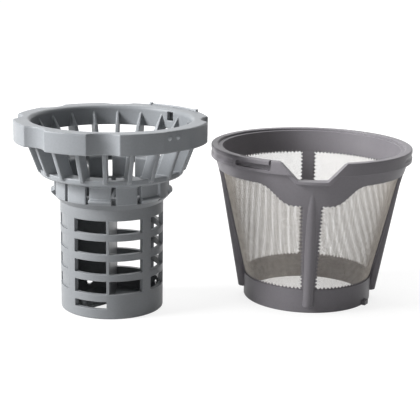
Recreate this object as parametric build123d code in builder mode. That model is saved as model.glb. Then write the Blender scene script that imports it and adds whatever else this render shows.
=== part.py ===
import os
from math import cos, degrees, radians, sin

from build123d import *

os.makedirs("parts", exist_ok=True)

# A dishwasher filter taken apart: the coarse filter and the fine mesh cup, side by side on the floor.
# Millimetres. The origin is on the floor, on the axis of the coarse filter; +Z is up and the front is -Y.
# Angles round an axis are in degrees from the front, towards +X.

# Coarse filter, overall
FILTER_H = 118.0
COLLAR_R = 59.0
COLLAR_H = 12.5
COLLAR_LAND = 10.5
COLLAR_WALL = 2.4
COLLAR_EDGE = 0.8
COLLAR_BORE_EDGE = 2.4

# Finger scoops round the collar
SCOOPS = 8
SCOOP_DEPTH = 4.6
SCOOP_WIDTH = 20.5
FLAT_ANGLE = 45.0
FLAT_PIP_R = 1.2
FLAT_PIP_STEP = 6.5

# Latch bar across one scoop, and the window behind it
LATCH_ANGLE = 135.0
LATCH_TURN = 4.0
LATCH_SPAN = 39.0
LATCH_T = 1.8
LATCH_H = 3.4
LATCH_RISE = 0.6
LATCH_GAP = 0.9
LATCH_POST_R = 1.3
LATCH_WINDOW_W = 5.4
LATCH_WINDOW_H = 5.6
LATCH_WINDOW_UP = 5.2

# Finned basket under the collar
FINS = 20
FIN_T = 2.4
FIN_TIP_T = 1.0
FIN_TIP_BELOW_TOP = 4.0
FIN_TOP_OUT = 2.9
FIN_WAIST_OUT = 1.4
FIN_WAIST_DOWN = 1.0
FIN_DEPTH = 8.4
FLOOR_LEDGE = 8.6
FLOOR_Z = 84.4
FLOOR_T = 3.6
FLOOR_SINK = 2.4
FLOOR_EDGE = 1.6

# Neck of snap fingers below the basket
NECK_LEDGE = 3.6
NECK_WALL = 2.2
NECK_H = 13.0
NECK_SLOTS = 14
NECK_SLOT_W = 2.6
NECK_SLOT_START = 6.4
NECK_SLOT_REACH = 5.3
SNAP_LIP = 0.7
SNAP_LIP_H = 1.4
BARB = 2.0
BARB_LAND = 0.8
BARB_FINGERS = (0, 2, 4, 7, 9, 11)

# Tube with its cage of slots
TUBE_R = 31.6
TUBE_WALL = 2.8
TUBE_EDGE = 1.0
BEAD_H = 1.6
BEAD_GAP = 0.15
ROWS = 4
ROW_PITCH = 12.4
ROW_H = 8.3
ROW_DROP = 6.8
HALF_ROW_Z = 6.3
HALF_ROW_H = 4.7
WEB_T = 1.6
PANEL_NEAR = (1.5, 40.4)
PANEL_FAR = (52.4, 88.5)
BLIND_DEPTH = 1.1
CHAMBER_FLOOR_T = 2.0
MOUTH_W = 11.0
MOUTH_BACK = 1.0
MOUTH_SIDE = -9.0
POST_R = 1.5
POST_H = 8.0
POST_X = -15.5
POST_Y = -20.0
DRAIN_R = 2.2
DRAINS = ((-148.0, 7.2), (117.0, 11.0))

# Fine cup, overall and its place beside the coarse filter
CUP_GAP = 1.6
CUP_Y = 27.3
CUP_TURN = -3.0
CUP_H = 98.5
HOOP_R = 63.1
HOOP_H = 7.5
HOOP_EDGE = 0.8
HOOP_STEP = 2.5
HOOP_LAND = 4.6
HOOP_STEP_H = 1.4
HOOP_OVERHANG = 2.3
BAND_TAPER = 2.2
BAND_H = 7.5

# Mesh cone of the cup, moulded into ring and band
MESH_T = 0.8
MESH_IN_RING = 1.6
MESH_IN_BAND = 2.15
MESH_FOOT = 5.0
MESH_TUCK = 1.5
MESH_ROWS = 5
MESH_COLUMNS = 6
MESH_BAR = 1.5
MESH_EDGE = 1.5
MESH_RIDGE = 0.5

# Bottom ring and ribs of the cup. The snap neck with its barbs passes through the ring.
RING_CLEARANCE = 0.7
RING_WALL = 2.7
RING_H = 15.0
RING_EDGE = 0.8
RIBS = 4
RIB_W = 6.6
RIB_OUT = 3.5
RIB_SINK = 0.3
RIB_Z = 4.5
STRIP_W = 7.4
FRONT_STRIP_W = 11.0
STRIP_T = 0.7
RIB_EDGE = 0.8
RAMP_SPAN = 28.0
RAMP_ANGLE = 150.0
RAMP_T = 1.2
RAMP_H = 1.6
RAMP_Z = 9.6
FOOT_ANGLE = 63.0
FOOT_W = 5.0
FOOT_T = 1.6
FOOT_H = 3.0

# Pouring notch and apron at the front of the cup
NOTCH_DEPTH = 11.2
NOTCH_TOP_W = 39.4
NOTCH_LOW_W = 17.6
NOTCH_ROUND = 2.0
LIP_W = 2.3
LIP_SET = 1.1
APRON_DROP = 12.2
APRON_LOW_W = 30.8
APRON_TOP_W = 57.2
APRON_ROUND = 12.0

# Spring bar in the hoop, left of the notch
SPRING_START = -47.5
SPRING_END = -23.5
SPRING_H = 2.6
SPRING_GAP = 1.3
SPRING_LEDGE = 1.7
SPRING_SLIT = 0.6
SPRING_ROUND = 1.3
SCORE_ANGLE = -49.5
SCORE_W = 0.5
HOOP_GROOVE = 0.6
HOOP_GROOVE_ROUND = 2.2
HOOP_GROOVE_DOWN = 3.9
GROOVE_START = 64.0

# Values that follow from the sizes above: the collar and its scoops
COLLAR_Z = FILTER_H - COLLAR_H
COLLAR_BORE_R = COLLAR_R - COLLAR_LAND
COLLAR_INNER_R = COLLAR_BORE_R + COLLAR_WALL
SCOOP_R = (SCOOP_WIDTH ** 2 / 4 + SCOOP_DEPTH ** 2) / (2 * SCOOP_DEPTH)
SCOOP_PITCH_R = COLLAR_R - SCOOP_DEPTH + SCOOP_R
FLAT_R = (COLLAR_R ** 2 - SCOOP_WIDTH ** 2 / 4) ** 0.5

# The neck follows the tube, and the basket floor and fins follow the neck and the collar
NECK_R = TUBE_R + NECK_LEDGE
NECK_Z = FLOOR_Z - NECK_H
NECK_BORE_R = NECK_R - NECK_WALL
FLOOR_R = NECK_R + FLOOR_LEDGE
FLOOR_TOP = FLOOR_Z + FLOOR_T
FIN_TOP_R = COLLAR_BORE_R + FIN_TOP_OUT
FIN_WAIST_R = FLOOR_R + FIN_WAIST_OUT
FIN_WAIST_Z = FLOOR_TOP - FIN_WAIST_DOWN
SNAP_R = NECK_BORE_R - SNAP_LIP
BEAD_R = NECK_BORE_R - BEAD_GAP
TUBE_BORE_R = TUBE_R - TUBE_WALL
SHOULDER_Z = NECK_Z - NECK_LEDGE
ROW_TOP_Z = SHOULDER_Z - ROW_DROP

# The cup's ring takes the neck, its band hangs from the hoop, and the mesh runs from one to the other
RING_BORE_R = NECK_R + BARB + RING_CLEARANCE
RING_R = RING_BORE_R + RING_WALL
HOOP_Z = CUP_H - HOOP_H
HOOP_TOP_IN = HOOP_R - HOOP_LAND
HOOP_IN = HOOP_TOP_IN - HOOP_STEP
LIP_R = HOOP_R - LIP_SET
BAND_TOP_R = HOOP_R - HOOP_OVERHANG
BAND_LOW_R = BAND_TOP_R - BAND_TAPER
BAND_Z = HOOP_Z - BAND_H
MESH_LOW_R = RING_R - MESH_IN_RING
MESH_LOW_Z = RING_H - MESH_FOOT
MESH_TOP_R = BAND_LOW_R - MESH_IN_BAND
MESH_TOP_Z = BAND_Z + MESH_TUCK
MESH_SLOPE = (MESH_TOP_R - MESH_LOW_R) / (MESH_TOP_Z - MESH_LOW_Z)
RIB_LOW_R = RING_R + RIB_OUT
RIB_TOP_R = BAND_LOW_R - RIB_SINK
CUP_X = COLLAR_R + CUP_GAP + HOOP_R
CUP_PLACE = Location((CUP_X, CUP_Y, 0), (0, 0, CUP_TURN))


def around(radius, angle):
    """Point in plan at a radius and an angle from the front."""
    return (radius * sin(radians(angle)), -radius * cos(radians(angle)))


def pie(start, end, reach):
    """Wedge in plan from the axis outwards between two angles."""
    middle = (start + end) / 2
    far = reach / cos(radians((end - start) / 4))
    Polygon((0, 0), around(far, start), around(far, middle), around(far, end), align=None)


def ring_sector(inner, outer, *spans):
    """Parts of a flat ring in plan, one for each pair of angles."""
    for start, end in spans:
        pie(start, end, outer * 1.3)
    Circle(outer, mode=Mode.INTERSECT)
    Circle(inner, mode=Mode.SUBTRACT)


def mesh_r(z):
    """Outer radius of the mesh cone at a height."""
    return MESH_LOW_R + MESH_SLOPE * (z - MESH_LOW_Z)


def collar_outline(inset=0.0):
    """Outline of the collar with its finger scoops and one flat, drawn smaller by the inset."""
    Circle(COLLAR_R - inset)
    for number in range(SCOOPS):
        angle = number * 360 / SCOOPS
        if abs(angle - FLAT_ANGLE) < 1:
            continue
        with Locations(around(SCOOP_PITCH_R, angle)):
            Circle(SCOOP_R + inset, mode=Mode.SUBTRACT)
    with Locations(Location((*around(FLAT_R - inset + COLLAR_R / 2, FLAT_ANGLE), 0), (0, 0, FLAT_ANGLE))):
        Rectangle(COLLAR_R, COLLAR_R, mode=Mode.SUBTRACT)


# One fin: a tapered thorn on the inner wall that runs down into a blade
fin_top_in = FIN_TOP_R - FIN_DEPTH
fin_low_in = FLOOR_R - FIN_DEPTH
with BuildPart() as fin:
    with BuildSketch(Plane.YZ):
        Polygon(
            (-FIN_TOP_R, COLLAR_Z + 1),
            (-FIN_TOP_R, COLLAR_Z - 2),
            (-FIN_WAIST_R, FIN_WAIST_Z),
            (-FLOOR_R + 0.6, FLOOR_Z + FLOOR_T / 3),
            (-fin_low_in, FLOOR_Z + FLOOR_T / 3),
            (-fin_low_in, FLOOR_TOP),
            (-fin_top_in, COLLAR_Z),
            (-fin_top_in - 0.4, COLLAR_Z + 1),
            align=None,
        )
    extrude(amount=FIN_T / 2, both=True)
    with BuildSketch(Plane.XY.offset(COLLAR_Z)) as thorn_foot:
        with Locations((0, -(fin_top_in + COLLAR_INNER_R) / 2)):
            Rectangle(FIN_T, COLLAR_INNER_R - fin_top_in)
    with BuildSketch(Plane.XY.offset(FILTER_H - FIN_TIP_BELOW_TOP)) as thorn_tip:
        with Locations((0, -(COLLAR_BORE_R + COLLAR_INNER_R) / 2)):
            Rectangle(FIN_TIP_T, COLLAR_WALL)
    loft()

# Barbs on six of the snap fingers
barb_z = NECK_Z + BARB
finger_pitch = 360 / NECK_SLOTS
with BuildPart() as barbs:
    with BuildSketch(Plane.XZ):
        Polygon(
            (NECK_R - 1, NECK_Z),
            (NECK_R, NECK_Z),
            (NECK_R + BARB, barb_z),
            (NECK_R + BARB, barb_z + BARB_LAND),
            (NECK_R, barb_z + 2 * BARB_LAND),
            (NECK_R - 1, barb_z + 2 * BARB_LAND),
            align=None,
        )
    revolve(axis=Axis.Z)
    with BuildSketch(Plane.XY.offset(NECK_Z - 1)):
        for number in BARB_FINGERS:
            slot_angle = NECK_SLOT_START + number * finger_pitch
            pie(slot_angle - finger_pitch, slot_angle, NECK_R * 1.5)
    extrude(amount=BARB * 4, mode=Mode.INTERSECT)

# Coarse filter, upper moulding: collar, fins, basket floor and snap neck
with BuildPart() as coarse_basket:
    with BuildSketch(Plane.XY.offset(COLLAR_Z)):
        collar_outline()
        Circle(COLLAR_BORE_R, mode=Mode.SUBTRACT)
    extrude(amount=COLLAR_H)
    top_edges = coarse_basket.edges().filter_by_position(Axis.Z, FILTER_H - 0.01, FILTER_H + 0.01)
    bore_edge = top_edges.sort_by(SortBy.LENGTH)[-1]
    fillet(top_edges.filter_by(lambda edge: edge.length < bore_edge.length), COLLAR_EDGE)
    fillet(bore_edge, COLLAR_BORE_EDGE)

    # hollow under the collar
    with BuildSketch(Plane.XY.offset(COLLAR_Z)):
        collar_outline(COLLAR_WALL)
        Circle(COLLAR_INNER_R, mode=Mode.SUBTRACT)
    extrude(amount=COLLAR_H - COLLAR_WALL, mode=Mode.SUBTRACT)

    # basket floor, and the neck that hangs from it
    with BuildSketch(Plane.XZ):
        Polygon(
            (FLOOR_R, FLOOR_Z + FLOOR_T / 4),
            (FLOOR_R, FLOOR_TOP),
            (NECK_BORE_R, FLOOR_TOP),
            (NECK_BORE_R, NECK_Z + SNAP_LIP_H + SNAP_LIP),
            (SNAP_R, NECK_Z + SNAP_LIP_H),
            (SNAP_R, NECK_Z + 0.4),
            (SNAP_R + 0.4, NECK_Z),
            (NECK_R, NECK_Z),
            (NECK_R, FLOOR_Z - FLOOR_SINK),
            (FLOOR_R - FLOOR_T / 4, FLOOR_Z),
            align=None,
        )
    revolve(axis=Axis.Z)
    floor_edges = coarse_basket.edges().filter_by_position(Axis.Z, FLOOR_TOP - 0.01, FLOOR_TOP + 0.01)
    fillet(floor_edges.sort_by(SortBy.LENGTH)[0], FLOOR_EDGE)
    with PolarLocations(0, FINS):
        add(fin.part)
    add(barbs.part)

    # latch bar across one scoop, set off from the collar by a groove
    latch_spans = (LATCH_ANGLE + LATCH_TURN - LATCH_SPAN / 2, LATCH_ANGLE + LATCH_TURN + LATCH_SPAN / 2)
    latch_slit = degrees(LATCH_GAP / COLLAR_R)
    with BuildSketch(Plane.XY.offset(FILTER_H - LATCH_H)):
        ring_sector(COLLAR_R - LATCH_T - LATCH_GAP, COLLAR_R + 1,
                    (latch_spans[0] - latch_slit, latch_spans[1] + latch_slit))
    extrude(amount=2 * LATCH_H, mode=Mode.SUBTRACT)
    with BuildSketch(Plane.XY.offset(FILTER_H - LATCH_H)):
        ring_sector(COLLAR_R - LATCH_T, COLLAR_R, latch_spans)
    extrude(amount=LATCH_H + LATCH_RISE)
    with BuildSketch(Plane.XY.offset(FILTER_H - LATCH_H)):
        with Locations(*[around(COLLAR_R - LATCH_T / 2, angle) for angle in latch_spans]):
            Circle(LATCH_POST_R)
    extrude(amount=LATCH_H + 2 * LATCH_RISE)
    with Locations(Location((*around(COLLAR_BORE_R, LATCH_ANGLE), COLLAR_Z + LATCH_WINDOW_UP), (0, 0, LATCH_ANGLE))):
        Box(LATCH_WINDOW_W, 3 * COLLAR_WALL, LATCH_WINDOW_H, align=(Align.CENTER, Align.CENTER, Align.MIN),
            mode=Mode.SUBTRACT)

    # pips on the flat of the collar
    with Locations(Location((*around(FLAT_R, FLAT_ANGLE), FILTER_H - COLLAR_H / 3), (0, 0, FLAT_ANGLE))):
        with Locations((0.1 * FLAT_PIP_STEP, 0, 0), (-0.9 * FLAT_PIP_STEP, 0, 0)):
            Sphere(FLAT_PIP_R)

    # slots that part the neck into snap fingers and run on into the floor
    with PolarLocations(SNAP_R - 1, NECK_SLOTS, start_angle=NECK_SLOT_START - 90):
        with Locations((0, 0, NECK_Z - 1)):
            Box(NECK_R + NECK_SLOT_REACH - SNAP_R + 1, NECK_SLOT_W, FLOOR_TOP + 1.2 - NECK_Z,
                align=(Align.MIN, Align.CENTER, Align.MIN), mode=Mode.SUBTRACT)

# Coarse filter, lower moulding: tube with a clip bead on top, two chambers and rows of slots
row_lows = [ROW_TOP_Z - ROW_H - number * ROW_PITCH for number in range(ROWS)]
right_panels = (PANEL_NEAR, PANEL_FAR, (180 - PANEL_FAR[1], 180 - PANEL_FAR[0]), (180 - PANEL_NEAR[1], 180 - PANEL_NEAR[0]))
blind_panels = [(-end, -start) for start, end in right_panels[1:]]
left_panel = (-PANEL_NEAR[1], -PANEL_NEAR[0])
with BuildPart() as coarse_tube:
    with BuildSketch(Plane.XZ):
        Polygon(
            (TUBE_BORE_R, 0),
            (TUBE_R, 0),
            (TUBE_R, SHOULDER_Z),
            (NECK_R, NECK_Z),
            (SNAP_R - BEAD_GAP, NECK_Z),
            (SNAP_R - BEAD_GAP, NECK_Z + SNAP_LIP_H),
            (BEAD_R, NECK_Z + SNAP_LIP_H + SNAP_LIP + BEAD_GAP),
            (BEAD_R, NECK_Z + SNAP_LIP_H + BEAD_H),
            (SNAP_R - BEAD_GAP, NECK_Z + SNAP_LIP_H + SNAP_LIP + BEAD_H),
            (TUBE_BORE_R, NECK_Z + SNAP_LIP_H + SNAP_LIP + BEAD_H),
            align=None,
        )
    revolve(axis=Axis.Z)
    fillet(coarse_tube.edges().group_by(Axis.Z)[0].sort_by(SortBy.LENGTH)[-1], TUBE_EDGE)

    # web between the chambers, and the floor plate with a mouth at the front of the left one
    with BuildSketch():
        Rectangle(WEB_T, 2 * TUBE_BORE_R + TUBE_WALL)
    extrude(amount=SHOULDER_Z)
    with BuildSketch():
        Circle(TUBE_BORE_R + TUBE_WALL / 2)
        Polygon(
            (-WEB_T / 2, MOUTH_BACK),
            (-MOUTH_W, MOUTH_SIDE),
            (-MOUTH_W, -TUBE_R),
            (-WEB_T / 2, -TUBE_R),
            align=None,
            mode=Mode.SUBTRACT,
        )
    extrude(amount=CHAMBER_FLOOR_T)
    with Locations((POST_X, POST_Y, 0)):
        Cylinder(POST_R, POST_H, align=(Align.CENTER, Align.CENTER, Align.MIN))

    # open slots, and blind recesses on the closed side
    for low in row_lows:
        with BuildSketch(Plane.XY.offset(low)):
            ring_sector(TUBE_BORE_R - 0.01, TUBE_R + 1, left_panel, *right_panels)
        extrude(amount=ROW_H, mode=Mode.SUBTRACT)
        with BuildSketch(Plane.XY.offset(low)):
            ring_sector(TUBE_R - BLIND_DEPTH, TUBE_R + 1, *blind_panels)
        extrude(amount=ROW_H, mode=Mode.SUBTRACT)
    with BuildSketch(Plane.XY.offset(HALF_ROW_Z)):
        ring_sector(TUBE_BORE_R - 0.01, TUBE_R + 1, left_panel)
    extrude(amount=HALF_ROW_H, mode=Mode.SUBTRACT)

    # two drain holes low in the wall
    for angle, height in DRAINS:
        with Locations(Location((*around(TUBE_R, angle), height), (90, 0, angle))):
            Cylinder(DRAIN_R, 3 * TUBE_WALL, mode=Mode.SUBTRACT)

# Mesh cone: a thin wall with ridges, parted into rows of gaps between the ribs
mesh_first = RING_H + MESH_BAR
mesh_pitch = (BAND_Z - RING_H - MESH_BAR) / MESH_ROWS
strip_angle = degrees(STRIP_W / 2 / MESH_LOW_R)
mesh_columns = [
    (quarter * 90 + strip_angle + MESH_EDGE + column * (90 - 2 * strip_angle - 2 * MESH_EDGE) / MESH_COLUMNS)
    for quarter in range(RIBS)
    for column in range(MESH_COLUMNS)
]
mesh_step = (90 - 2 * strip_angle - 2 * MESH_EDGE) / MESH_COLUMNS
with BuildPart() as mesh_blank:
    with BuildSketch(Plane.XZ):
        Polygon(
            (MESH_LOW_R - MESH_T, MESH_LOW_Z),
            (MESH_LOW_R, MESH_LOW_Z),
            (MESH_TOP_R, MESH_TOP_Z),
            (MESH_TOP_R - MESH_T, MESH_TOP_Z),
            align=None,
        )
        for row in range(1, MESH_ROWS):
            ridge_z = mesh_first + row * mesh_pitch - MESH_BAR / 2
            with Locations((mesh_r(ridge_z), ridge_z)):
                Circle(MESH_RIDGE)
    revolve(axis=Axis.Z)
with BuildPart() as mesh_body:
    add(mesh_blank.part)
    for row in range(MESH_ROWS):
        with BuildSketch(Plane.XY.offset(mesh_first + row * mesh_pitch)):
            half_bar = degrees(MESH_BAR / 2 / mesh_r(mesh_first + row * mesh_pitch))
            ring_sector(MESH_LOW_R / 2, HOOP_R, *[(start + half_bar, start + mesh_step - half_bar) for start in mesh_columns])
        extrude(amount=mesh_pitch - MESH_BAR, mode=Mode.SUBTRACT)
with BuildPart() as cup_mesh:
    with Locations(CUP_PLACE):
        add(mesh_body.part)

# Column: a half-round rib that stands on the outside of a strip
skin = STRIP_T / 4
with BuildPart() as column:
    with BuildSketch(Plane.XY.offset(RIB_Z)):
        with Locations((0, -RIB_LOW_R + RIB_W / 2)):
            Circle(RIB_W / 2)
    with BuildSketch(Plane.XY.offset(BAND_Z)):
        with Locations((0, -RIB_TOP_R + RIB_W / 2)):
            Circle(RIB_W / 2)
    loft()
    with BuildSketch(Plane.XZ):
        Polygon(
            (0, 0),
            (RING_R - RING_WALL / 2, 0),
            (RING_R - RING_WALL / 2, RING_H - 1),
            (mesh_r(RING_H) + skin, RING_H),
            (mesh_r(CUP_H) + skin, CUP_H),
            (0, CUP_H),
            align=None,
        )
    revolve(axis=Axis.Z, mode=Mode.SUBTRACT)
    fillet(column.faces().sort_by(Axis.Z)[0].edges().sort_by(Axis.Y)[0], RIB_EDGE)

# Space round the spring bar: a window under it, a slit behind it and a gap at its free end
ledge_z = HOOP_Z + SPRING_LEDGE
slit_r = BAND_TOP_R - SPRING_SLIT
with BuildPart() as spring_cut:
    with BuildSketch(Plane.XY.offset(ledge_z)):
        ring_sector(slit_r, HOOP_R + 1, (SPRING_START, SPRING_END))
    extrude(amount=CUP_H - SPRING_H - ledge_z)
    window_ends = spring_cut.edges().filter_by(GeomType.LINE).filter_by(lambda edge: edge.length < HOOP_R
                                                                       and abs((edge @ 0 - edge @ 1).Z) < 0.01)
    fillet(window_ends, SPRING_ROUND)
    with BuildSketch(Plane.XY.offset(CUP_H - SPRING_H - SPRING_ROUND / 2)):
        ring_sector(slit_r, BAND_TOP_R, (SPRING_START + 1, SPRING_END))
    extrude(amount=SPRING_H + SPRING_ROUND)
    with BuildSketch(Plane.XY.offset(CUP_H - SPRING_H - SPRING_ROUND)):
        ring_sector(slit_r, HOOP_R + 1, (SPRING_END - degrees(SPRING_GAP / HOOP_R), SPRING_END))
    extrude(amount=SPRING_H + 2 * SPRING_ROUND)

# Rounded groove between the hoop's two beads, from the right side round the back to the score
with BuildPart() as hoop_groove:
    with BuildSketch(Plane.XZ):
        with Locations((HOOP_R + HOOP_GROOVE_ROUND - HOOP_GROOVE, CUP_H - HOOP_GROOVE_DOWN)):
            Circle(HOOP_GROOVE_ROUND)
    revolve(axis=Axis.Z)
    with BuildSketch(Plane.XY.offset(HOOP_Z)):
        pie(SCORE_ANGLE, GROOVE_START, 2 * HOOP_R)
    extrude(amount=2 * HOOP_H, mode=Mode.SUBTRACT)

# Relief round the lip: the band is turned down everywhere but round the notch
with BuildPart() as lip_relief:
    with BuildSketch(Plane.XZ):
        Polygon(
            (BAND_TOP_R, HOOP_Z),
            (BAND_LOW_R, BAND_Z),
            (HOOP_R + 1, BAND_Z),
            (HOOP_R + 1, HOOP_Z),
            align=None,
        )
    revolve(axis=Axis.Z)
    with BuildSketch(Plane.XZ):
        Polygon(
            (-NOTCH_TOP_W / 2, CUP_H),
            (-NOTCH_LOW_W / 2, CUP_H - NOTCH_DEPTH),
            (NOTCH_LOW_W / 2, CUP_H - NOTCH_DEPTH),
            (NOTCH_TOP_W / 2, CUP_H),
            align=None,
        )
        offset(amount=LIP_W)
    extrude(amount=2 * HOOP_R, mode=Mode.SUBTRACT)

# Cup frame: one turned blank from ring to hoop, opened into windows that leave ribs, band and apron
apron_z = BAND_Z - APRON_DROP
with BuildPart() as frame_body:
    with BuildSketch(Plane.XZ):
        Polygon(
            (RING_BORE_R, 0),
            (RING_R, 0),
            (RING_R, RING_H),
            (BAND_LOW_R, BAND_Z),
            (LIP_R, BAND_Z + 2 * (LIP_R - BAND_LOW_R) / 3),
            (LIP_R, HOOP_Z),
            (HOOP_R, HOOP_Z),
            (HOOP_R, CUP_H),
            (HOOP_TOP_IN, CUP_H),
            (HOOP_TOP_IN, CUP_H - HOOP_STEP_H),
            (HOOP_IN, CUP_H - HOOP_STEP_H),
            (mesh_r(BAND_Z) - MESH_T - STRIP_T, BAND_Z),
            (mesh_r(RING_H) - MESH_T - STRIP_T, RING_H),
            (RING_BORE_R, RING_H - 2 * STRIP_T),
            align=None,
        )
    revolve(axis=Axis.Z)
    fillet(frame_body.edges().filter_by_position(Axis.Z, CUP_H - 0.01, CUP_H + 0.01), HOOP_EDGE)
    fillet(frame_body.edges().filter_by_position(Axis.Z, -0.01, 0.01), RING_EDGE)
    add(lip_relief.part, mode=Mode.SUBTRACT)

    # windows: square ones at the back, and at the front up to the outline of the apron
    with BuildSketch(Plane.XZ.offset(-STRIP_W / 2)):
        with Locations((STRIP_W / 2, RING_H)):
            Rectangle(HOOP_R, BAND_Z - RING_H, align=Align.MIN)
        with Locations((-STRIP_W / 2, RING_H)):
            Rectangle(HOOP_R, BAND_Z - RING_H, align=(Align.MAX, Align.MIN))
    extrude(amount=-2 * HOOP_R, mode=Mode.SUBTRACT)
    with BuildSketch(Plane.XZ.offset(STRIP_W / 2)) as front_windows:
        for side in (1, -1):
            Polygon(
                (side * STRIP_W / 2, RING_H),
                (side * 2 * HOOP_R, RING_H),
                (side * 2 * HOOP_R, BAND_Z),
                (side * APRON_TOP_W / 2, BAND_Z),
                (side * APRON_LOW_W / 2, apron_z),
                (side * FRONT_STRIP_W / 2, apron_z),
                align=None,
            )
        shoulders = front_windows.vertices().filter_by_position(Axis.Y, apron_z - 1, BAND_Z + 1)
        fillet(shoulders.filter_by(lambda v: FRONT_STRIP_W / 2 + 1 < abs(v.X) < HOOP_R), APRON_ROUND)
    extrude(amount=2 * HOOP_R, mode=Mode.SUBTRACT)

    # pouring notch through hoop and band
    with BuildSketch(Plane.XZ) as notch:
        Polygon(
            (-NOTCH_TOP_W / 2, CUP_H),
            (-NOTCH_LOW_W / 2, CUP_H - NOTCH_DEPTH),
            (NOTCH_LOW_W / 2, CUP_H - NOTCH_DEPTH),
            (NOTCH_TOP_W / 2, CUP_H),
            (NOTCH_TOP_W / 2, CUP_H + 1),
            (-NOTCH_TOP_W / 2, CUP_H + 1),
            align=None,
        )
        fillet(notch.vertices().group_by(Axis.Y)[0], NOTCH_ROUND)
    extrude(amount=2 * HOOP_R, mode=Mode.SUBTRACT)

    # groove, score line and the space round the spring bar
    add(hoop_groove.part, mode=Mode.SUBTRACT)
    with Locations(Location((*around(HOOP_R, SCORE_ANGLE), HOOP_Z - 1), (0, 0, SCORE_ANGLE))):
        Box(SCORE_W, 2.4 * HOOP_GROOVE, HOOP_H, align=(Align.CENTER, Align.CENTER, Align.MIN), mode=Mode.SUBTRACT)
    add(spring_cut.part, mode=Mode.SUBTRACT)

    # bayonet ramps inside the ring, each with a stop, and two feet outside
    for number in range(RIBS):
        ramp = RAMP_ANGLE + number * 360 / RIBS
        with BuildSketch(Plane.XY.offset(RAMP_Z)):
            ring_sector(RING_BORE_R - RAMP_T, RING_BORE_R + RING_WALL / 2, (ramp - RAMP_SPAN / 2, ramp + RAMP_SPAN / 2))
        extrude(amount=RAMP_H)
        with BuildSketch(Plane.XY.offset(RAMP_Z - 3 * RAMP_H)):
            ring_sector(RING_BORE_R - RAMP_T, RING_BORE_R + RING_WALL / 2,
                        (ramp - RAMP_SPAN / 2, ramp - RAMP_SPAN / 2 + degrees(RAMP_H / RING_BORE_R)))
        extrude(amount=3.5 * RAMP_H)
    for angle in (FOOT_ANGLE, FOOT_ANGLE + 180):
        with Locations(Location((*around(RING_R - RING_EDGE, angle), 0), (0, 0, angle))):
            Box(FOOT_W, FOOT_T + RING_EDGE, FOOT_H, align=(Align.CENTER, Align.MAX, Align.MIN))

    with PolarLocations(0, RIBS):
        add(column.part)
    add(mesh_blank.part, mode=Mode.SUBTRACT)
with BuildPart() as cup_frame:
    with Locations(CUP_PLACE):
        add(frame_body.part)

# Hand over one file a piece
coarse_basket.part.label = "coarse_basket"
export_step(coarse_basket.part, "parts/coarse_basket.step")
coarse_tube.part.label = "coarse_tube"
export_step(coarse_tube.part, "parts/coarse_tube.step")
cup_frame.part.label = "cup_frame"
export_step(cup_frame.part, "parts/cup_frame.step")
cup_mesh.part.label = "cup_mesh"
export_step(cup_mesh.part, "parts/cup_mesh.step")
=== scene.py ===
# Looks of the dishwasher filter taken apart: camera, materials, woven cloth, flash, floor and lights.
# Constants are in millimetres of the CAD frame. Shader lengths, lamps and the floor are in metres.
import math

import bpy
import numpy as np
from mathutils import Matrix, Vector


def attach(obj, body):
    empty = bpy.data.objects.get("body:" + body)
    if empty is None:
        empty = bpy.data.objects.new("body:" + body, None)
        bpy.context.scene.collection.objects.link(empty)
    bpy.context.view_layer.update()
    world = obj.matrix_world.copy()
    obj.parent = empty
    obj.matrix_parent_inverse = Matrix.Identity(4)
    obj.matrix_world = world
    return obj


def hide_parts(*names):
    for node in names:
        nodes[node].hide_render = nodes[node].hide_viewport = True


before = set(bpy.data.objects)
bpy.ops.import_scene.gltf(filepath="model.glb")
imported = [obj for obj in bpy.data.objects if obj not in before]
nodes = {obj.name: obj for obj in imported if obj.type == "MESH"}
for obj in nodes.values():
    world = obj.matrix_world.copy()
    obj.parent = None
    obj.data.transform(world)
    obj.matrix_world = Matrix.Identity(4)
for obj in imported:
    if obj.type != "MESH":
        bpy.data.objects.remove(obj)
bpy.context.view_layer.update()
scene = bpy.context.scene
MM = 0.001

# The collar's top, which the latch bar rises over, and the two pips on its flat
COLLAR_TOP = 118.0
FLAT_R, FLAT_TURN = 58.1, math.radians(45)
PIP_Z, PIPS_ALONG = 113.83, (0.65, -5.85)

# The cup's own frame and its windows, as the part's source places them
CUP_X, CUP_Y, CUP_TURN = 123.7, 27.3, math.radians(-3.0)
RIBS = 4
QUARTER = 2 * math.pi / RIBS
STRIP_HALF, FRONT_STRIP_HALF = 3.7, 5.5
RING_H, BAND_Z = 15.0, 83.5
APRON_Z, APRON_LOW_HALF, APRON_TOP_HALF, APRON_ROUND = 71.3, 15.4, 28.6, 12.0

# The cone that the cloth follows
MESH_T = 0.8
MESH_LOW_R, MESH_LOW_Z, MESH_TOP_R, MESH_TOP_Z = 39.0, 10.0, 56.45, 85.0
SLOPE = (MESH_TOP_R - MESH_LOW_R) / (MESH_TOP_Z - MESH_LOW_Z)
LEAN = math.atan(SLOPE)

# Woven cloth: distance between wires, their radius, how far they swing out of the cloth's middle,
# how many sides a wire has, and how far the cloth runs on into the plastic
PITCH = 0.55
WIRE_R = 0.08
WEAVE = 0.075
SIDES = 3
TUCK = 0.9

# Flash along the windows' edges: its points and teeth, how far they reach, and its root and lifts
FLASH_STEP, FLASH_PITCH = 0.4, 2.4
FLASH_MEAN, FLASH_SWING, FLASH_SCATTER = 0.7, 0.66, 0.12
FLASH_LEAST, FLASH_MOST = 0.06, 1.7
FLASH_ROOT, ROOT_LIFT, TIP_LIFT = -0.5, 0.3, 0.17
BEND_POINTS = 7
rng = np.random.default_rng(11)

# Camera, fitted to the rims and feet in the photograph
PHOTO_WIDTH, FOCAL_PIXELS, SENSOR = 420, 1202.98, 36.0
CAMERA_PLACE = Vector((60.40, -719.28, 238.16)) * MM
CAMERA_DOWN = math.radians(13.81)
CAMERA_ROLL = math.radians(0.93)

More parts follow.
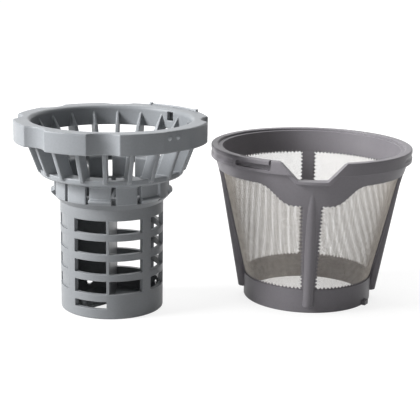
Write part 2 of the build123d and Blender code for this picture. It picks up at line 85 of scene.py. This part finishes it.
# Lights: place, width and height in metres, and power in watts
AIM = Vector((0.06, 0.01, 0.06))
LAMPS = {
    "key": ((-1.35, -0.35, 0.82), (0.7, 0.7), 51),
    "top": ((0.1, 0.8, 1.35), (1.2, 0.7), 14),
    "fill": ((-0.2, -1.5, 0.3), (1.2, 0.6), 3.0),
}
WORLD_LIGHT, WORLD_SHOWN = 0.05, 1.0

# Floor: the tone that lights the object, the tone that shows its shadow, and the white added for the camera,
# which rises with the distance from the origin
FLOOR_CORNERS = [(-8, -6, 0), (8, -6, 0), (8, 14, 0), (-8, 14, 0)]
FLOOR_TONE, SHADOW_TONE = 0.6, 0.22
GLOW_START, GLOW_END, GLOW_NEAR, GLOW_FAR = 0.16, 0.6, 0.84, 1.02


def place_camera():
    """Sets the camera where the photograph was taken from."""
    data = bpy.data.cameras.new("camera")
    data.sensor_width = SENSOR
    data.lens = SENSOR * FOCAL_PIXELS / PHOTO_WIDTH
    data.clip_start, data.clip_end = 0.01, 100
    camera = bpy.data.objects.new("camera", data)
    scene.collection.objects.link(camera)
    camera.matrix_world = (Matrix.Translation(CAMERA_PLACE)
                           @ Matrix.Rotation(math.pi / 2 - CAMERA_DOWN, 4, "X")
                           @ Matrix.Rotation(CAMERA_ROLL, 4, "Z"))
    scene.camera = camera


# Node materials
class Nodes:
    """Adds nodes to a node tree and joins them."""

    def __init__(self, tree):
        self.tree = tree

    def add(self, kind, **values):
        node = self.tree.nodes.new(kind)
        for key, value in values.items():
            setattr(node, key, value)
        return node

    def join(self, a, b):
        self.tree.links.new(a, b)

    def span(self, value, start, end, low, high):
        """Maps a value from start..end to low..high, and holds it there outside."""
        node = self.add("ShaderNodeMapRange")
        for key, number in (("From Min", start), ("From Max", end), ("To Min", low), ("To Max", high)):
            node.inputs[key].default_value = number
        self.join(value, node.inputs["Value"])
        return node.outputs[0]

    def larger(self, a, b):
        node = self.add("ShaderNodeMath", operation="MAXIMUM")
        self.join(a, node.inputs[0])
        self.join(b, node.inputs[1])
        return node.outputs[0]

    def shows_backdrop(self):
        """One for the rays that see a white backdrop: camera, glossy and transmission rays."""
        path = self.add("ShaderNodeLightPath")
        value = path.outputs["Is Camera Ray"]
        for kind in ("Is Glossy Ray", "Is Transmission Ray"):
            value = self.larger(value, path.outputs[kind])
        return value


class Finish(Nodes):
    """A node material, built step by step."""

    def __init__(self, name):
        self.material = bpy.data.materials.new(name)
        self.material.use_nodes = True
        super().__init__(self.material.node_tree)
        self.shader = self.tree.nodes["Principled BSDF"]
        self.output = self.tree.nodes["Material Output"]
        self.place = self.add("ShaderNodeTexCoord").outputs["Object"]

    def noise(self, scale, detail, rough, stretch=None):
        node = self.add("ShaderNodeTexNoise")
        node.inputs["Scale"].default_value = scale
        node.inputs["Detail"].default_value = detail
        node.inputs["Roughness"].default_value = rough
        source = self.place
        if stretch:
            mapping = self.add("ShaderNodeMapping")
            mapping.inputs["Scale"].default_value = stretch
            self.join(self.place, mapping.inputs["Vector"])
            source = mapping.outputs["Vector"]
        self.join(source, node.inputs["Vector"])
        return node.outputs["Fac"]

    def ramp(self, factor, *stops):
        """Colours or greys at their places between 0 and 1."""
        node = self.add("ShaderNodeValToRGB")
        for element, (place, colour) in zip(node.color_ramp.elements, stops):
            element.position = place
            element.color = (*colour, 1.0) if hasattr(colour, "__len__") else (colour,) * 3 + (1.0,)
        self.join(factor, node.inputs["Fac"])
        return node.outputs["Color"]

    def mix(self, kind, factor, a, b):
        """Mixes two colours. Sockets 0, 6 and 7 are the factor and the colours, and output 2 is the result."""
        node = self.add("ShaderNodeMix", data_type="RGBA", blend_type=kind)
        for socket, value in ((node.inputs[0], factor), (node.inputs[6], a), (node.inputs[7], b)):
            if hasattr(value, "is_linked"):
                self.join(value, socket)
            elif hasattr(value, "__len__"):
                socket.default_value = (*value, 1.0)
            else:
                socket.default_value = value
        return node.outputs[2]

    def measure(self, operation, a):
        """A vector node that gives one number, with its first input joined."""
        node = self.add("ShaderNodeVectorMath", operation=operation)
        self.join(a, node.inputs[0])
        return node

    def bump(self, height, distance, strength, normal=None):
        node = self.add("ShaderNodeBump")
        node.inputs["Strength"].default_value = strength
        node.inputs["Distance"].default_value = distance
        self.join(height, node.inputs["Height"])
        if normal:
            self.join(normal, node.inputs["Normal"])
        return node.outputs["Normal"]


def paint_proud_highlights(g, painted_highlight, above, pips):
    """Adds painted highlights where the plastic stands proud: over a height, which is the latch bar's top, and
    on small pips.
    """
    split = g.add("ShaderNodeSeparateXYZ")
    g.join(g.place, split.inputs[0])
    painted_highlight = g.larger(painted_highlight, g.span(split.outputs["Z"], above, above + 0.0003, 0.0, 0.6))
    for pip in pips:
        away = g.measure("DISTANCE", g.place)
        away.inputs[1].default_value = pip
        painted_highlight = g.larger(painted_highlight, g.span(away.outputs["Value"], 0.0015, 0.0011, 0.0, 1.0))
    return painted_highlight


def moulded(name, dark, light, rough, edge=0.0004, proud=None):
    """Injection-moulded plastic: faint flow marks, fine grain, and soft edges painted pale as highlights."""
    g = Finish(name)
    flow = g.ramp(g.noise(16, 4, 0.55, stretch=(1, 1, 0.35)), (0.3, dark), (0.72, light))
    fleck = g.ramp(g.noise(900, 2, 0.6), (0.35, 0.86), (0.6, 1.0))
    colour = g.mix("MULTIPLY", 0.35, flow, fleck)

    # painted edge highlights: paler where the rounded normal leaves the true one
    bevel = g.add("ShaderNodeBevel", samples=6)
    bevel.inputs["Radius"].default_value = edge
    facing = g.measure("DOT_PRODUCT", bevel.outputs["Normal"])
    g.join(g.add("ShaderNodeNewGeometry").outputs["Normal"], facing.inputs[1])
    painted_highlight = g.span(facing.outputs["Value"], 0.99, 0.8, 0.0, 0.55)
    # painted highlights on the latch bar's top and on the two pips
    if proud:
        painted_highlight = paint_proud_highlights(g, painted_highlight, *proud)
    # the painted highlights lighten the colour towards this pale tone
    pale = tuple(min(1.0, 1.75 * c) for c in light)
    g.join(g.mix("MIX", painted_highlight, colour, pale), g.shader.inputs["Base Color"])

    # patchy gloss, a slight wave and the eroded grain
    patch = g.noise(40, 3, 0.6)
    g.join(g.ramp(patch, (0.3, rough - 0.05), (0.7, rough + 0.06)), g.shader.inputs["Roughness"])
    wave = g.bump(g.noise(55, 2, 0.5), 0.00012, 0.5, bevel.outputs["Normal"])
    g.join(g.bump(g.noise(2600, 3, 0.6), 0.00003, 0.6, wave), g.shader.inputs["Normal"])
    g.shader.inputs["Specular IOR Level"].default_value = 0.28
    return g.material


def wire_finish(name):
    """Fine drawn wire, dull and slightly warm, with darker blotches."""
    g = Finish(name)
    tone = g.noise(300, 2, 0.5)
    base = g.ramp(tone, (0.3, (0.33, 0.30, 0.27)), (0.7, (0.47, 0.44, 0.40)))
    blotch = g.ramp(g.noise(22, 3, 0.5), (0.3, (0.9, 0.88, 0.86)), (0.7, (1.0, 1.0, 1.0)))
    g.join(g.mix("MULTIPLY", 0.6, base, blotch), g.shader.inputs["Base Color"])
    g.join(g.ramp(tone, (0.3, 0.36), (0.7, 0.5)), g.shader.inputs["Roughness"])
    g.join(g.bump(g.noise(5200, 2, 0.5), 0.00001, 0.4), g.shader.inputs["Normal"])
    g.shader.inputs["Metallic"].default_value = 0.6
    return g.material


def pip_places():
    """Middles of the two pips, in metres."""
    s, c = math.sin(FLAT_TURN), math.cos(FLAT_TURN)
    return [Vector((FLAT_R * s + along * c, along * s - FLAT_R * c, PIP_Z)) * MM for along in PIPS_ALONG]


def dress(node, material):
    """Gives a carried-over solid its material."""
    mesh = nodes[node].data
    mesh.materials.clear()
    mesh.materials.append(material)


def piece(name, points, faces, material, smooth=True):
    """A new mesh piece that rides with the part."""
    mesh = bpy.data.meshes.new(name)
    mesh.from_pydata(points, [], faces)
    mesh.update()
    mesh.materials.append(material)
    if smooth:
        mesh.shade_smooth()
    obj = bpy.data.objects.new(name, mesh)
    scene.collection.objects.link(obj)
    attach(obj, "root")
    return obj


# Woven cloth. Each quarter is a flat piece of plain weave rolled onto the cone, so its pitch stays even:
# warp wires run up it and weft wires across it, over and under each other.
def cloth_r(z):
    """Radius of the middle of the cloth at a height."""
    return MESH_LOW_R + SLOPE * (z - MESH_LOW_Z) - MESH_T / 2


def cloth_at(angle, z, lift):
    """Points of the cloth in metres, with its outward, upward and sideways directions, from arrays."""
    a = angle + CUP_TURN
    s, c, flat = np.sin(a), np.cos(a), np.zeros_like(a)
    out = np.stack([s * math.cos(LEAN), -c * math.cos(LEAN), flat - math.sin(LEAN)], -1)
    up = np.stack([s * math.sin(LEAN), -c * math.sin(LEAN), flat + math.cos(LEAN)], -1)
    side = np.stack([c, s, flat], -1)
    r = cloth_r(z)
    centre = np.stack([CUP_X + r * s, CUP_Y - r * c, z + flat], -1) + out * lift[..., None]
    return centre * MM, out, up, side


def lay_wires(name, centre, across, out, keep):
    """Closed wires along the second axis of a grid of points, wherever two neighbours are kept."""
    link = keep[:, :-1] & keep[:, 1:]
    keep = np.zeros_like(keep)
    keep[:, :-1] |= link
    keep[:, 1:] |= link
    first, last = keep.copy(), keep.copy()
    first[:, 1:] &= ~link
    last[:, :-1] &= ~link

    turns = np.linspace(0, 2 * math.pi, SIDES, endpoint=False)[:, None]
    around = np.cos(turns) * across[..., None, :] + np.sin(turns) * out[..., None, :]
    rings = centre[..., None, :] + WIRE_R * MM * around

    index = np.cumsum(keep.ravel()).reshape(keep.shape) - 1
    corner = np.arange(SIDES)
    a = index[:, :-1][link][:, None] * SIDES + corner
    b = index[:, 1:][link][:, None] * SIDES + corner
    sides = np.stack([a, np.roll(a, -1, 1), np.roll(b, -1, 1), b], -1).reshape(-1, 4)
    ends = np.concatenate([index[first][:, None] * SIDES + corner[::-1], index[last][:, None] * SIDES + corner])
    return piece(name, rings[keep].reshape(-1, 3).tolist(), sides.tolist() + ends.tolist(), wire)


def cloth_panel(quarter):
    """Warp and weft of the cloth between one rib and the next, tucked into the plastic all round."""
    reach = math.sin(LEAN)
    low, top = cloth_r(RING_H - TUCK) / reach, cloth_r(BAND_Z + TUCK) / reach
    half = top * math.sin(QUARTER / 2 * reach)
    x = np.arange(-half, half, PITCH)
    y = np.arange(low * math.cos(QUARTER / 2 * reach), top, PITCH)
    grid_x, grid_y = np.meshgrid(x, y, indexing="ij")
    far, turn = np.hypot(grid_x, grid_y), np.arctan2(grid_x, grid_y) / reach
    z = MESH_LOW_Z + (far * reach - MESH_LOW_R + MESH_T / 2) / SLOPE
    edge = QUARTER / 2 - np.arcsin((STRIP_HALF - TUCK) / (far * reach))
    keep = (far > low) & (far < top) & (np.abs(turn) < edge)

    angle = turn + (quarter + 0.5) * QUARTER
    over = np.where(np.indices(keep.shape).sum(0) % 2, WEAVE, -WEAVE)
    warp, out, up, side = cloth_at(angle, z, over)
    weft = cloth_at(angle, z, -over)[0]
    number = quarter + 1
    warps = lay_wires(f"mesh_warp_{number}", warp, side, out, keep)
    lay_wires(f"mesh_weft_{number}", weft.swapaxes(0, 1), up.swapaxes(0, 1), out.swapaxes(0, 1), keep.T)
    return warps


# Flash: where the plastic was moulded round the cloth, it has crept into the cells at the edge of each window
def run(a, b):
    """Points a step apart from one corner of a window to the next, as sideways place and height."""
    count = max(2, int(math.dist(a, b) / FLASH_STEP))
    return [(a[0] + (b[0] - a[0]) * k / count, a[1] + (b[1] - a[1]) * k / count) for k in range(count)]


def on_cloth(line):
    """Turns sideways places into angles round the cup."""
    return [(math.asin(x / cloth_r(z)), z) for x, z in line]


def strip_side(half_low, half_top, top):
    """One side of a strip, from the ring up to a height."""
    return on_cloth(run((half_low, RING_H), (half_top, top)) + [(half_top, top)])


def apron_edge():
    """Lower outline of the apron from the front strip out to the band, with its two rounded corners."""
    rise = math.atan2(BAND_Z - APRON_Z, APRON_TOP_HALF - APRON_LOW_HALF)
    back = APRON_ROUND * math.tan(rise / 2)
    low_centre = (APRON_LOW_HALF - back, APRON_Z + APRON_ROUND)
    top_centre = (APRON_TOP_HALF + back, BAND_Z - APRON_ROUND)
    bends = []
    for centre, start, end in ((low_centre, -math.pi / 2, rise - math.pi / 2),
                               (top_centre, math.pi / 2 + rise, math.pi / 2)):
        for t in np.linspace(start, end, BEND_POINTS):
            bends.append((centre[0] + APRON_ROUND * math.cos(t), centre[1] + APRON_ROUND * math.sin(t)))
    corners = [(FRONT_STRIP_HALF, APRON_Z)] + bends
    return on_cloth([point for a, b in zip(corners, corners[1:]) for point in run(a, b)] + [bends[-1]])


def flash_line(name, angles, heights, inward):
    """A thin ragged strip along a window's edge, from inside the plastic out into the cells."""
    angles, heights = np.array(angles), np.array(heights)
    count = len(angles)
    r = cloth_r(heights)
    along = np.stack([np.gradient(angles) * r, np.gradient(heights)], -1)
    along /= np.linalg.norm(along, axis=1)[:, None]
    normal = np.stack([-along[:, 1], along[:, 0]], -1) * inward
    teeth = FLASH_MEAN - FLASH_SWING * np.cos(2 * math.pi * np.arange(count) * FLASH_STEP / FLASH_PITCH)
    tip = np.clip(teeth + rng.normal(0.0, FLASH_SCATTER, count), FLASH_LEAST, FLASH_MOST)
    root = np.full(count, FLASH_ROOT)
    lines = [cloth_at(angles + normal[:, 0] * off / r, heights + normal[:, 1] * off, np.full(count, lift))[0]
             for off, lift in ((root, ROOT_LIFT), (tip, TIP_LIFT), (tip, -TIP_LIFT), (root, -ROOT_LIFT))]
    points = np.stack(lines, 1).reshape(-1, 3)
    faces = []
    for k in range(count - 1):
        faces += [(4 * k + c, 4 * k + (c + 1) % 4, 4 * k + 4 + (c + 1) % 4, 4 * k + 4 + c) for c in range(4)]
    faces += [(3, 2, 1, 0), tuple(len(points) - 4 + c for c in range(4))]
    if inward > 0:
        faces = [face[::-1] for face in faces]
    return piece(name, points.tolist(), faces, dark_plastic, smooth=False)


def window_flash(quarter):
    """Flash round one window: its two sides, then its lower and upper edge."""
    number = quarter + 1
    start, end = quarter * QUARTER, (quarter + 1) * QUARTER
    plain = strip_side(STRIP_HALF, STRIP_HALF, BAND_Z)
    front = strip_side(STRIP_HALF, FRONT_STRIP_HALF, APRON_Z) + apron_edge()[1:]
    near = front if quarter == 0 else plain
    far = front if quarter == RIBS - 1 else plain
    flash_line(f"flash_near_{number}", [start + t for t, z in near], [z for t, z in near], -1)
    flash_line(f"flash_far_{number}", [end - t for t, z in far], [z for t, z in far], 1)
    for name, z, corner, inward in (("low", RING_H, 0, 1), ("top", BAND_Z, -1, -1)):
        left, right = start + near[corner][0], end - far[corner][0]
        count = int((right - left) * cloth_r(z) / FLASH_STEP)
        flash_line(f"flash_{name}_{number}", np.linspace(left, right, count), np.full(count, z), inward)


# Floor, lights and world
def lay_floor():
    """A pale floor that shows white to the camera and keeps the object's shadow."""
    mesh = bpy.data.meshes.new("floor")
    mesh.from_pydata(FLOOR_CORNERS, [], [(0, 1, 2, 3)])
    floor = bpy.data.objects.new("floor", mesh)
    scene.collection.objects.link(floor)
    g = Finish("floor")
    plain = g.add("ShaderNodeBsdfDiffuse")
    plain.inputs["Color"].default_value = (FLOOR_TONE,) * 3 + (1,)
    shadow = g.add("ShaderNodeBsdfDiffuse")
    shadow.inputs["Color"].default_value = (SHADOW_TONE,) * 3 + (1,)
    glow = g.add("ShaderNodeEmission")
    away = g.measure("LENGTH", g.place).outputs["Value"]
    g.join(g.span(away, GLOW_START, GLOW_END, GLOW_NEAR, GLOW_FAR), glow.inputs["Strength"])
    shown = g.add("ShaderNodeAddShader")
    g.join(shadow.outputs[0], shown.inputs[0])
    g.join(glow.outputs[0], shown.inputs[1])
    choice = g.add("ShaderNodeMixShader")
    g.join(g.shows_backdrop(), choice.inputs[0])
    g.join(plain.outputs[0], choice.inputs[1])
    g.join(shown.outputs[0], choice.inputs[2])
    g.join(choice.outputs[0], g.output.inputs["Surface"])
    g.tree.nodes.remove(g.shader)
    mesh.materials.append(g.material)


def hang_lamp(name, place, size, power):
    """A soft rectangular lamp, aimed at the part."""
    data = bpy.data.lights.new(name, "AREA")
    data.shape = "RECTANGLE"
    data.size, data.size_y = size
    data.energy = power
    lamp = bpy.data.objects.new(name, data)
    scene.collection.objects.link(lamp)
    lamp.location = place
    lamp.rotation_euler = (AIM - Vector(place)).to_track_quat("-Z", "Y").to_euler()


def surround():
    """A faint world light that shows white to the camera and in reflections."""
    world = bpy.data.worlds.new("studio")
    scene.world = world
    world.use_nodes = True
    g = Nodes(world.node_tree)
    back = g.tree.nodes["Background"]
    back.inputs["Color"].default_value = (1, 1, 1, 1)
    g.join(g.span(g.shows_backdrop(), 0.0, 1.0, WORLD_LIGHT, WORLD_SHOWN), back.inputs["Strength"])


place_camera()
scene.view_settings.view_transform = "Standard"

# the grey plastic gets painted highlights on its edges, on the latch bar's top and on the two pips
grey_plastic = moulded("grey_plastic", (0.222, 0.234, 0.248), (0.266, 0.28, 0.296), 0.4, edge=0.0013,
                       proud=((COLLAR_TOP + 0.15) * MM, pip_places()))
tube_plastic = moulded("tube_plastic", (0.188, 0.197, 0.207), (0.226, 0.236, 0.248), 0.42)
dark_plastic = moulded("dark_plastic", (0.165, 0.157, 0.17), (0.2, 0.19, 0.206), 0.42)
wire = wire_finish("mesh_wire")
dress("coarse_basket", grey_plastic)
dress("coarse_tube", tube_plastic)
dress("cup_frame", dark_plastic)

cloth = [cloth_panel(quarter) for quarter in range(RIBS)]
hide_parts("cup_mesh")
for quarter in range(RIBS):
    window_flash(quarter)

lay_floor()
for name, (place, size, power) in LAMPS.items():
    hang_lamp(name, place, size, power)
surround()
